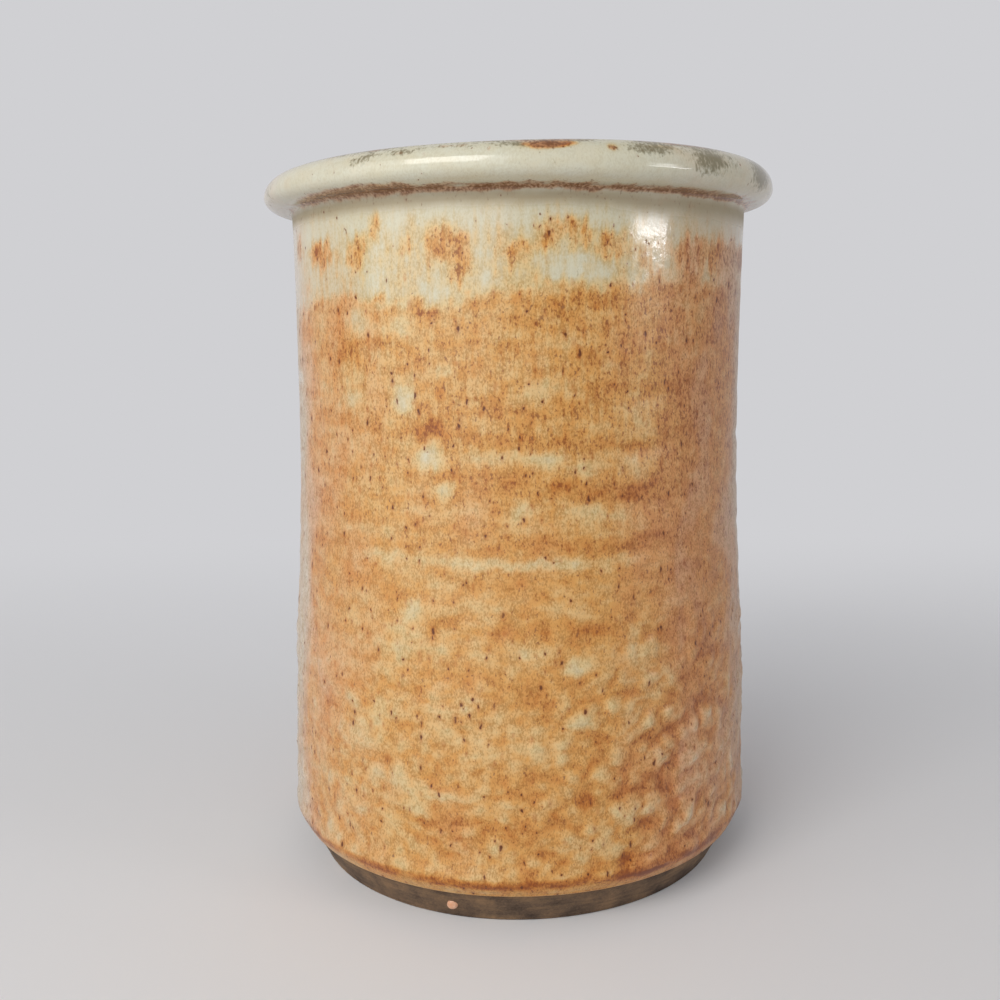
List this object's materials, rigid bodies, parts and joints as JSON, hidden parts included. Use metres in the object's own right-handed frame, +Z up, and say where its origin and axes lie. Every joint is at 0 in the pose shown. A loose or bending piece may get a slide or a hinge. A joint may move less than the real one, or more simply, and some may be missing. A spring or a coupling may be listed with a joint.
{
  "type": "utensil crock",
  "caption": "Hand-thrown stoneware utensil crock: upright round pot with a rolled rim, open mouth, cream neck glaze over a mottled tan coat, and a bare trimmed foot.",
  "frame": {"origin": "centre of the foot ring's sole, on the surface that the crock stands on", "axes": "+Z up along the axis that the pot was thrown about; -Y towards the front, the side that the picture shows; +X to the viewer's right"},
  "size_m": [0.127, 0.127, 0.1731],
  "materials": {
    "bare_stoneware": "matt, finely gritty, unglazed",
    "tan_glaze": "satin gloss, mottled, pitted with iron specks",
    "cream_glaze": "gloss, thin and rusty where it breaks",
    "liner_glaze": "gloss",
    "drop_glaze": "gloss"
  },
  "bodies": {
    "root": {"stoneware_body": "bare_stoneware", "tan_glaze_coat": "tan_glaze", "cream_glaze_coat": "cream_glaze", "liner_glaze_coat": "liner_glaze", "foot_glaze_drop": "drop_glaze"}
  },
  "joints": []
}
